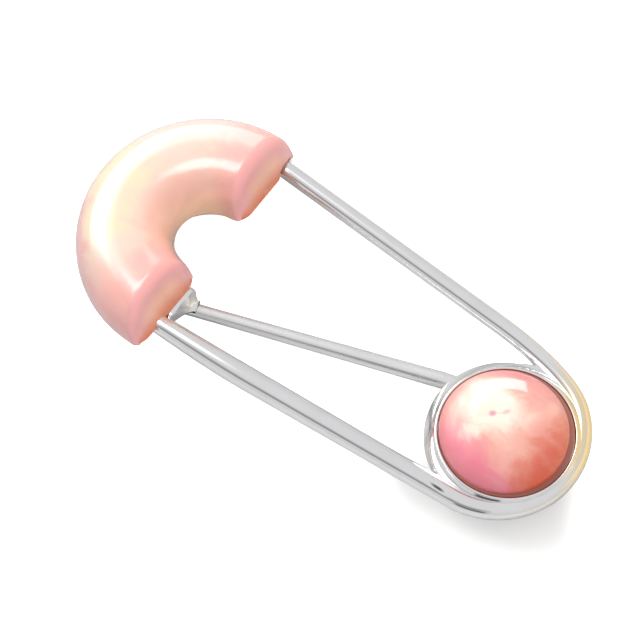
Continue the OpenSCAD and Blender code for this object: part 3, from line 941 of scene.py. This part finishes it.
class BROOCH_OT_half_ring(bpy.types.Operator):
    """Make the domed half-ring stone from its rule"""

    bl_idname = "brooch.half_ring"
    bl_label = "Half-Ring Stone"

    def execute(self, context):
        horn, plan = context.scene.brooch_horn, Plan(context.scene)
        steps, turns, tiers, around = 112, 8, 14, 72
        arc = [math.pi / 2 * k / turns for k in range(1, turns + 1)]
        end = [(1, math.sin(t), 1 - math.cos(t), 1) for t in arc]
        end += [(1, 1, 1, 1 - k / tiers) for k in range(1, tiers + 1)]
        rows = [(-along, -past, inset, up) for along, past, inset, up in reversed(end)]
        rows += [(2 * i / steps - 1, 0, 0, 1) for i in range(steps + 1)]
        rows += end
        columns = [(math.pi * j / around, 1) for j in range(around + 1)]
        columns += [(math.pi * j / around, 0) for j in range(around - 1, 0, -1)]
        values = {
            "Outer Radius": horn.radius, "Width": horn.width, "Height": horn.height, "Fullness": horn.fullness,
            "Leg": horn.leg, "Lean": horn.lean, "End Rounding": horn.rounding, "Corner Rounding": horn.corner,
            "Inner Flare": horn.flare, "Inner Corner": horn.nose, "Centre X": plan.horn_x, "Base Z": plan.base_z,
        }
        values["Material"] = material = half_ring_material(context.scene, plan)
        made = grown("half_ring_stone", grid_mesh("half_ring_grid", rows, columns), half_ring_tree(), values)
        self.dent(made.data, plan, horn)
        settle(made, "brooch", material, "crescent_stone", "crescent_stone")
        return {"FINISHED"}

    def dent(self, mesh, plan, horn):
        """Presses a dent into the end face, round the place where the upper leg goes in."""
        reach = 1.7 * MM
        for v in mesh.vertices:
            off = math.hypot(v.co.y - plan.upper_root.y, v.co.z - plan.wire_z)
            if v.co.x > plan.end_x - 2.2 * MM and off < reach and v.co.y > 0:
                v.co.x -= horn.dent * (0.5 + 0.5 * math.cos(math.pi * off / reach))


class BROOCH_OT_round_stone(bpy.types.Operator):
    """Turn the round stone"""

    bl_idname = "brooch.round_stone"
    bl_label = "Round Stone"

    def execute(self, context):
        cup, plan = context.scene.brooch_cup, Plan(context.scene)
        rim_z, dome_r = ROUND_LOW.z + cup.side, cup.radius - cup.ledge
        rise = ROUND_HIGH.z - rim_z
        bevel, top = 0.12 * MM, 0.06 * MM
        outline = [(0, ROUND_LOW.z), (cup.radius - bevel, ROUND_LOW.z), (cup.radius, ROUND_LOW.z + bevel)]
        outline += [(cup.radius, rim_z - top), (cup.radius - top, rim_z), (dome_r + 0.03 * MM, rim_z)]
        steps, power, foot = 56, 2 / cup.fullness, 0.01 * MM
        for k in range(steps):
            a = math.pi / 2 * k / steps
            outline.append((dome_r * math.cos(a) ** power, rim_z + foot + (rise - foot) * math.sin(a) ** power))
        outline.append((0, ROUND_HIGH.z))
        made = turned("domed_round_stone", outline, plan.cup_c, 192)
        for v in made.data.vertices:
            if v.co.z > rim_z - 0.001 * MM and (Vector((v.co.x, v.co.y)) - plan.cup_c).length < dome_r + 0.04 * MM:
                v.co.x += cup.shift * math.cos(cup.shift_way)
                v.co.y += cup.shift * math.sin(cup.shift_way)
        settle(made, "brooch", round_stone_material(context.scene, plan), "round_stone", "round_stone")
        return {"FINISHED"}


class BROOCH_OT_wire(bpy.types.Operator):
    """Run the frame's wire round the cup and out to the half ring"""

    bl_idname = "brooch.wire"
    bl_label = "Frame Wire"

    def execute(self, context):
        wire, plan = context.scene.brooch_wire, Plan(context.scene)
        route = wire_route(wire, plan)
        spots = [(p.x, p.y, plan.wire_z + (thick - 1.0) * wire.wire / 2) for p, thick in route]
        material = white_metal(context.scene)
        made = grown(
            "frame_wire", path_mesh("wire_path", spots, [thick for _, thick in route]), tube_tree(),
            {"Radius": wire.wire / 2, "Sides": 48, "Material": material},
        )
        self.clear(made.data, plan, context.scene.brooch_horn.dent, wire.scar)
        settle(made, "brooch", material, "white_metal", "frame")
        return {"FINISHED"}

    def clear(self, mesh, plan, dent, scar):
        """Keeps the wire below the half ring and outside the cup, and cuts the scar where the leg meets the cup."""
        for v in mesh.vertices:
            away = Vector((v.co.x, v.co.y)) - plan.cup_c
            if away.length < plan.cup_in + 0.4 * MM and v.co.x > plan.cup_c.x - plan.cup_r:
                v.co.x, v.co.y = plan.cup_c + away.normalized() * (plan.cup_in + 0.4 * MM)
            if v.co.x < plan.end_x - (dent + 0.3 * MM if v.co.y > 0 else 0.8 * MM):
                v.co.z = min(v.co.z, plan.under_z)
            if v.co.z > plan.wire_z:
                v.co.z -= scar * max(0.0, 1.0 - plan.from_scar(v.co.x, v.co.y))


class BROOCH_OT_cup(bpy.types.Operator):
    """Turn the cup that holds the round stone and fill its solder"""

    bl_idname = "brooch.cup"
    bl_label = "Bezel Cup"

    def execute(self, context):
        cup, plan = context.scene.brooch_cup, Plan(context.scene)
        foot, side = 0.3 * MM, plan.cup_r + cup.swell
        outline = [(0, plan.cup_z), (side - foot, plan.cup_z)]
        outline += arc(Vector((side - foot, plan.cup_z + foot)), foot, -math.pi / 2, math.pi / 2, 4, 1)
        crest = Vector((plan.cup_in + cup.lip, plan.lip_z - cup.roll))
        low, high = Vector((side, plan.lip_z - cup.fall)), crest + Vector((cup.roll, 0))
        for k in range(1, 6):
            outline.append((side, plan.cup_z + foot + (low.y - 0.1 * MM - plan.cup_z - foot) * k / 5))
        for k in range(9):
            p = low.lerp(high, k / 9)
            bulge = 0.03 * MM * math.sin(math.pi * k / 9)
            outline.append((p.x + bulge, p.y + bulge))
        outline += arc(crest, cup.roll, 0.0, math.pi / 2, 8)
        inner = cup.lip * 0.7
        outline += arc(Vector((plan.cup_in + inner, plan.lip_z - inner)), inner, math.pi / 2, math.pi / 2, 6, 1)
        outline += [(plan.cup_in, plan.seat_z), (0, plan.seat_z)]
        made = turned("bezel_cup", outline, plan.cup_c, 192)
        on_frame(context.scene, made)
        self.solder(context.scene, plan)
        return {"FINISHED"}

    def solder(self, scene, plan):
        """Fills the narrow gap between the cup and the upper leg, with a hollow curve where it ends."""
        wire = scene.brooch_wire
        side = plan.cup_r + scene.brooch_cup.swell
        polar = []
        for p, _ in bend(wire, plan) + upper_leg(wire, plan):
            off = p - plan.cup_c
            polar.append((math.atan2(off.y, off.x), off.length))

        def reach(turn):
            """Distance from the cup's middle to the wire's centre line."""
            for (a0, r0), (a1, r1) in zip(polar, polar[1:]):
                if a0 <= turn <= a1:
                    return r0 + (r1 - r0) * (turn - a0) / (a1 - a0)
            raise ValueError("the solder ends beyond the wire")

        low, mouth, hollow = (math.radians(d) for d in (30, wire.solder_end, wire.solder_hollow))
        steps = 24
        spots = [(side - 0.4 * MM, low + (mouth - low) * k / steps) for k in range(steps + 1)]
        for k in range(1, steps):
            t = k / steps
            turn = hollow + (mouth - hollow) * abs(2 * t - 1) ** 2.4
            near, far = side - 0.1 * MM, reach(turn) - wire.wire * 0.42
            spots.append((near + (far - near) * t, turn))
        spots += [
            (reach(a) - wire.wire * 0.15, a) for a in (mouth + (low - mouth) * k / steps for k in range(steps + 1))
        ]
        outline = [tuple(plan.cup_c + r * heading(a)) for r, a in spots]
        made = joined([slab(outline, plan.wire_z - 0.6 * MM, plan.wire_z + 0.35 * MM, 0.05 * MM)], "solder_web")
        on_frame(scene, made)


class BROOCH_OT_back(bpy.types.Operator):
    """Cut the back plate and bend the gallery under the half ring"""

    bl_idname = "brooch.back"
    bl_label = "Back Plate and Gallery"

    def execute(self, context):
        horn, plan = context.scene.brooch_horn, Plan(context.scene)
        outer, inner = horn.radius - horn.margin, horn.radius - horn.width + horn.margin + horn.tuck
        end = plan.end_x - horn.margin
        centre = Vector((plan.horn_x, 0.0))
        cut = horn.nose * 2
        outline = [(end, outer), *arc(centre, outer, math.pi / 2, math.pi, 72)]
        outline += [(end, -outer), (end, -inner - cut), (end - cut, -inner)]
        outline += arc(centre, inner, -math.pi / 2, -math.pi, 72)
        outline += [(end - cut, inner), (end, inner + cut)]
        made = joined([slab(outline, plan.plate_z, plan.under_z, 0.1 * MM)], "back_plate")
        on_frame(context.scene, made)
        outer, inner = horn.radius - horn.rail_margin, horn.radius - horn.width + horn.rail_margin
        top, bevel = plan.plate_z + 0.1 * MM, 0.12 * MM
        start = math.pi - horn.rail_arc / 2
        parts = [
            revolved(box_profile(r, r + horn.rail, 0.0, top, bevel), centre, start, horn.rail_arc, 64)
            for r in (inner, outer - horn.rail)
        ]
        for side in (-1, 1):
            a = math.pi + side * horn.rail_arc / 2
            turn = Matrix.Rotation(a, 2)
            low, high = (-horn.rail, 0.0) if side > 0 else (0.0, horn.rail)
            x0, x1 = inner + horn.rail / 2, outer - horn.rail / 2
            corners = [(x0, low), (x1, low), (x1, high), (x0, high)]
            parts.append(slab([tuple(centre + turn @ Vector(c)) for c in corners], 0.0, top, bevel))
        made = joined(parts, "gallery")
        on_frame(context.scene, made)
        return {"FINISHED"}


class BROOCH_OT_hinge(bpy.types.Operator):
    """Make the hinge's bracket and its rivet"""

    bl_idname = "brooch.hinge"
    bl_label = "Hinge"

    def execute(self, context):
        wire, plan = context.scene.brooch_wire, Plan(context.scene)
        hole, outer, wall = wire.rivet / 2 + 0.02 * MM, wire.eye + 0.85 * MM, 0.65 * MM
        top, boss = plan.cup_z + 0.25 * MM, 2.1 * MM
        middle = plan.pin_a + math.pi + math.radians(30)
        parts = [
            revolved(box_profile(hole, outer, 0.0, wire.ear, 0.08 * MM), plan.pivot),
            revolved(box_profile(hole, outer, boss, top, 0.08 * MM), plan.pivot),
            revolved(
                box_profile(outer - wall, outer - 0.05 * MM, wire.ear / 2, top - 0.05 * MM, 0.08 * MM),
                plan.pivot, middle - math.radians(75), math.radians(150), 48,
            ),
        ]
        made = joined(parts, "hinge_bracket")
        on_frame(context.scene, made)
        r, low, high = wire.rivet / 2, RIVET_LOW.z, RIVET_HIGH.z
        outline = [(0, low), (r * 0.55, low), (r * 0.85, low + 0.04 * MM), (r, low + 0.12 * MM)]
        outline += [(r, high - 0.06 * MM), (r - 0.06 * MM, high), (0, high)]
        made = turned("hinge_rivet_head", outline, plan.pivot, 48)
        settle(made, "brooch", white_metal(context.scene), "white_metal", "hinge_rivet")
        return {"FINISHED"}


class BROOCH_OT_catch(bpy.types.Operator):
    """Make the flare and the block that hold the pin's tip"""

    bl_idname = "brooch.catch"
    bl_label = "Catch"

    def execute(self, context):
        horn, wire, plan = context.scene.brooch_horn, context.scene.brooch_wire, Plan(context.scene)
        way = plan.pin_way
        across = Vector((-way.y, way.x))
        slot, wall = wire.pin / 2 + 0.1 * MM, 0.5 * MM
        side, top = slot + wall, plan.plate_z + 0.3 * MM
        near, far = 2.0 * MM, 5.2 * MM

        def section(d, shape):
            spot = plan.mouth + way * d
            return [(*(spot + across * s), z) for s, z in shape]

        shape = [
            (-side, 0.0), (side, 0.0), (side, plan.pin_z - slot), (-slot, plan.pin_z - slot),
            (-slot, plan.pin_z + slot), (side, plan.pin_z + slot), (side, top), (-side, top),
        ]
        solid = [(-side, 0.0), (side, 0.0), (side, top), (-side, top)]
        stop = far - 0.4 * MM
        parts = []
        for a, b, form in ((near, stop, shape), (stop, far, solid)):
            parts.append((section(a, form) + section(b, form), closed_tube(2, len(form))))
        made = joined(parts, "catch_block")
        on_frame(context.scene, made)
        self.flare(context.scene, plan, horn, wire)
        return {"FINISHED"}

    def flare(self, scene, plan, horn, wire):
        """A hood that narrows from the stone's end face to the pin's mouth, open towards the pin's swing."""
        inner_y = -(horn.radius - horn.width)
        mid_y, half_y = inner_y - 1.175 * MM - 2.2 * MM, -2.2 * MM
        base, high = plan.pin_z, plan.under_z - plan.pin_z
        slot = wire.pin / 2 + 0.06 * MM
        ring = wire.pin / 2 + 0.2 * MM
        across = Vector((-plan.pin_way.y, plan.pin_way.x))
        edge_x = plan.end_x + 0.35 * MM
        n = 33
        stations = [(plan.end_x - horn.margin, 0.0, 0.0), (edge_x - 0.05 * MM, 0.0, 0.0), (edge_x, 0.0, 0.04)]
        stations += [(edge_x, k / 14, 0.04 + 0.96 * (1 - (1 - k / 14) ** 2.6)) for k in range(1, 15)]
        rows = []
        for x, t, ease in stations:
            full = 0.35 + 0.65 * ease
            shape = []
            for i in range(n):
                a = math.pi * i / (n - 1)
                c, up = math.cos(a), math.sin(a)
                shape.append((math.copysign(abs(c) ** full, c), up ** full))
            row = []
            for c, up in shape + [(None, 0.0), (None, 1.0)]:
                pin_y = plan.mouth.y + (x - plan.mouth.x) * plan.pin_way.y / plan.pin_way.x
                if c is None:
                    wide, narrow, z = Vector((x, pin_y + slot)), plan.mouth - across * slot, base + slot * up
                else:
                    reach = ring * (c if c < 0.75 else 0.75 + (c - 0.75) * 0.1)
                    wide, narrow = Vector((x, mid_y + half_y * c)), plan.mouth + across * reach
                    z = base + up * (high + (ring - high) * ease)
                    if c > -0.5:
                        z = max(z, base + slot)
                spot = wide.lerp(narrow, t)
                spot.y = wide.y + (narrow.y - wide.y) * (ease if c is not None else t)
                row.append((spot.x, spot.y, z))
            rows.append(row)
        made = piece_from("catch_flare", [p for row in rows for p in row], closed_tube(len(rows), n + 2), 50)
        on_frame(scene, made)


class BROOCH_OT_pin(bpy.types.Operator):
    """Draw the pin's shank and tip and form its eye"""

    bl_idname = "brooch.pin"
    bl_label = "Pin"

    def execute(self, context):
        wire, plan = context.scene.brooch_wire, Plan(context.scene)
        body = plan.pin_len - wire.taper
        stops, thick = [], []
        for k in range(41):
            d = body * k / 40
            grow = eased(clamped((d - 3.2 * MM) / (3 * MM)))
            far = wire.pin_near + (wire.pin_far - wire.pin_near) * d / body
            stops.append(d)
            thick.append(1.0 + (far - 1.0) * grow)
        for k in range(1, 13):
            t = k / 12
            stops.append(body + wire.taper * t)
            thick.append(wire.pin_far + (wire.tip / wire.pin - wire.pin_far) * t)
        spots = [(*(plan.pivot + plan.pin_way * d), plan.pin_z) for d in stops]
        material = pin_metal(context.scene)
        made = grown(
            "pin_shank", path_mesh("pin_path", spots, thick), tube_tree(),
            {"Radius": wire.pin / 2, "Sides": 40, "Material": material},
        )
        bore = wire.rivet / 2 + 0.05 * MM
        points, faces = revolved(box_profile(bore, wire.eye, PIN_LOW.z, PIN_HIGH.z, 0.15 * MM), plan.pivot, steps=72)
        eye = piece_from("pin_eye", points, faces)
        settle(made, "pin", material, "pin_metal", "pin_stem")
        settle(eye, "pin", material, "pin_metal", "pin_stem")
        return {"FINISHED"}


class BROOCH_OT_stage(bpy.types.Operator):
    """Set the floor, the soft lights and the camera"""

    bl_idname = "brooch.stage"
    bl_label = "Stage"

    def execute(self, context):
        scene = context.scene
        self.floor(scene)
        self.lamps(scene)
        self.surroundings(scene)
        self.camera(scene)
        scene.view_settings.view_transform = "Standard"
        scene.view_settings.look = "None"
        scene.view_settings.exposure = 0.0
        scene.view_settings.gamma = 1.0
        return {"FINISHED"}

    def floor(self, scene):
        """A pale floor that glows white to the camera, washing out shadows but for a patch under the cup, and reflects
        in the metal as a paler grey that turns warm on its right side.
        """
        size = 0.6
        mesh = bpy.data.meshes.new("floor")
        mesh.from_pydata([(-size, -size, 0), (size, -size, 0), (size, size, 0), (-size, size, 0)], [], [(0, 1, 2, 3)])
        floor = bpy.data.objects.new("floor", mesh)
        scene.collection.objects.link(floor)
        paint = Paint("floor")
        paint.set(roughness=0.9)
        x, y = paint.parts(paint.centred((0, 0, 0), -VIEW_AZ))[:2]
        seen = paint.node("ShaderNodeLightPath").outputs["Is Camera Ray"]
        pale = scene.brooch_light.floor
        # Painted warm light: the floor as seen in reflections turns warm on the right side.
        floor_in_reflections = paint.mix(paint.level(x, 27 * MM, 45 * MM), (0.60, 0.60, 0.60), (0.68, 0.55, 0.34))
        paint.set(base_color=paint.mix(seen, floor_in_reflections, (pale, pale, pale)))
        # Painted light: the floor glows to the camera, which washes out shadows, and glows less in a patch under the
        # cup so that the shadow there shows.
        under = paint.window(x, 9 * MM, 20 * MM, 9 * MM, 7 * MM)
        under = paint.times(under, paint.window(y, -30 * MM, -14 * MM, 9 * MM, 6 * MM))
        glow = paint.times(seen, paint.level(under, 0.0, 1.0, 0.85, 0.12))
        paint.set(emission_color=paint.mix(glow, (0, 0, 0), (1, 1, 1)), emission_strength=1.0)
        mesh.materials.append(paint.material)

    def lamp(self, scene, name, way, distance, length, width, glow, aim):
        """A rectangular soft light, seen from the aim at the way given as right, away and up."""
        light = bpy.data.lights.new(name, "AREA")
        light.shape, light.size, light.size_y = "RECTANGLE", length, width
        light.energy = glow * math.pi * length * width
        lamp = bpy.data.objects.new(name, light)
        scene.collection.objects.link(lamp)
        right = Vector((math.cos(VIEW_AZ), math.sin(VIEW_AZ), 0))
        away = Vector((-math.sin(VIEW_AZ), math.cos(VIEW_AZ), 0))
        back = (way[0] * right + way[1] * away + way[2] * Vector((0, 0, 1))).normalized()
        long = (right - back * right.dot(back)).normalized()
        lamp.location = aim + back * distance
        lamp.rotation_mode = "QUATERNION"
        lamp.rotation_quaternion = Matrix((long, back.cross(long), back)).transposed().to_quaternion()
        return lamp

    def lamps(self, scene):
        """Soft lights that each light one stone alone, and a fill light that gloss doesn't show."""
        look = scene.brooch_light
        crest = Vector((-22 * MM, 5 * MM, HORN_HIGH.z))
        middle = (Vector(ROUND_LOW) + Vector(ROUND_HIGH)) / 2
        for name, way, sizes, glow, aim, piece in (
            ("strip_light", (-0.10, -0.07, 1.0), (90, 62, 38), look.top, crest, "half_ring_stone"),
            ("half_ring_light", (-0.04, 0.85, 0.53), (120, 107, 100), look.crescent, crest, "half_ring_stone"),
            ("round_stone_light", (0.0, 0.87, 0.47), (120, 84, 46), look.window, middle, "domed_round_stone"),
        ):
            lamp = self.lamp(scene, name, way, *(size * MM for size in sizes), glow, aim)
            lit = bpy.data.collections.new(name + "_on")
            lit.objects.link(bpy.data.objects[piece])
            lamp.light_linking.receiver_collection = lit
        fill = self.lamp(scene, "fill_light", (0.45, -0.75, 0.55), 0.3, 0.25, 0.25, look.fill, Vector((0, 0, 0)))
        fill.visible_glossy = False

    def surroundings(self, scene):
        """A pale light tent with two dark gaps, a large soft light in two parts and a warm card."""
        look = scene.brooch_light
        world = bpy.data.worlds.new("surroundings")
        world.use_nodes = True
        scene.world = world
        sky = Nodes(world.node_tree)
        place = sky.node("ShaderNodeTexCoord").outputs["Generated"]
        facing = sky.node("ShaderNodeMapping", Vector=place)
        facing.inputs["Rotation"].default_value = (0, 0, -VIEW_AZ)
        right, away, up = sky.parts(facing.outputs[0])[:3]
        bearing = sky.math("ARCTAN2", sky.times(right, -1.0), away)
        rise = sky.math("ARCSINE", up)
        deg = math.radians

        def patch(low, high, soft, floor, top, soft_low, soft_high):
            """A soft-edged patch between two bearings, from straight away round to the left, and two heights."""
            across = sky.window(bearing, deg(low), deg(high), deg(soft), deg(soft))
            return sky.times(across, sky.window(rise, deg(floor), deg(top), deg(soft_low), deg(soft_high)))

        tone = sky.level(up, 0.0, 0.9, 0.9, 1.0)
        for area, dark in (((110, 165, 25, 30, 36, 3, 24), look.gap), ((150, 172, 6, 17, 25, 5, 5), look.slit)):
            tone = sky.times(tone, sky.minus(1.0, sky.times(patch(*area), dark)))
        light = sky.mix(tone, (0, 0, 0), [look.room * t for t in (1, 1, 1.01)])
        for area, glow, tint in (
            ((30, 62, 18, 20, 46, 8, 13), look.key, (1, 1, 0.97)),
            ((34, 75, 14, 52, 62, 8, 14), look.high, (1, 1, 0.97)),
            ((-100, -45, 20, 2, 26, 8, 16), look.warm, (1, 0.6, 0.1)),
        ):
            light = sky.mix(patch(*area), light, [glow * t for t in tint], "ADD")
        back = world.node_tree.nodes["Background"]
        sky.feed(back.inputs["Color"], light)
        sky.feed(back.inputs["Strength"], 1.0)

    def camera(self, scene):
        data = bpy.data.cameras.new("camera")
        data.sensor_width, data.lens = 36.0, 36.0 * FOCAL_PIXELS / PHOTO_PIXELS
        data.clip_start, data.clip_end = 0.01, 10.0
        camera = bpy.data.objects.new("camera", data)
        scene.collection.objects.link(camera)
        way = Vector(
            (math.sin(VIEW_AZ) * math.cos(VIEW_EL), -math.cos(VIEW_AZ) * math.cos(VIEW_EL), math.sin(VIEW_EL))
        )
        camera.location = VIEW_TARGET + way * VIEW_DISTANCE
        camera.rotation_mode = "QUATERNION"
        camera.rotation_quaternion = (-way).to_track_quat("-Z", "Y")
        scene.camera = camera


OPERATORS = (
    BROOCH_OT_half_ring,
    BROOCH_OT_round_stone,
    BROOCH_OT_wire,
    BROOCH_OT_cup,
    BROOCH_OT_back,
    BROOCH_OT_hinge,
    BROOCH_OT_catch,
    BROOCH_OT_pin,
    BROOCH_OT_stage,
)


class BROOCH_PT_panel(bpy.types.Panel):
    """The brooch's pieces, sizes and colours"""

    bl_label = "Safety Pin Brooch"
    bl_idname = "BROOCH_PT_panel"
    bl_space_type = "VIEW_3D"
    bl_region_type = "UI"
    bl_category = "Brooch"

    def draw(self, context):
        layout = self.layout
        for operator in OPERATORS:
            layout.operator(operator.bl_idname)
        for key, group in GROUPS.items():
            box = layout.box()
            box.label(text=group.__doc__)
            values = getattr(context.scene, key)
            for name in group.__annotations__:
                box.prop(values, name)


CLASSES = (*GROUPS.values(), *OPERATORS, BROOCH_PT_panel)


def register():
    for cls in CLASSES:
        bpy.utils.register_class(cls)
    for key, group in GROUPS.items():
        setattr(bpy.types.Scene, key, bpy.props.PointerProperty(type=group))


def unregister():
    for key in GROUPS:
        delattr(bpy.types.Scene, key)
    for cls in reversed(CLASSES):
        bpy.utils.unregister_class(cls)


def main():
    register()
    for operator in OPERATORS:
        group, name = operator.bl_idname.split(".")
        getattr(getattr(bpy.ops, group), name)()


if __name__ == "__main__":
    main()
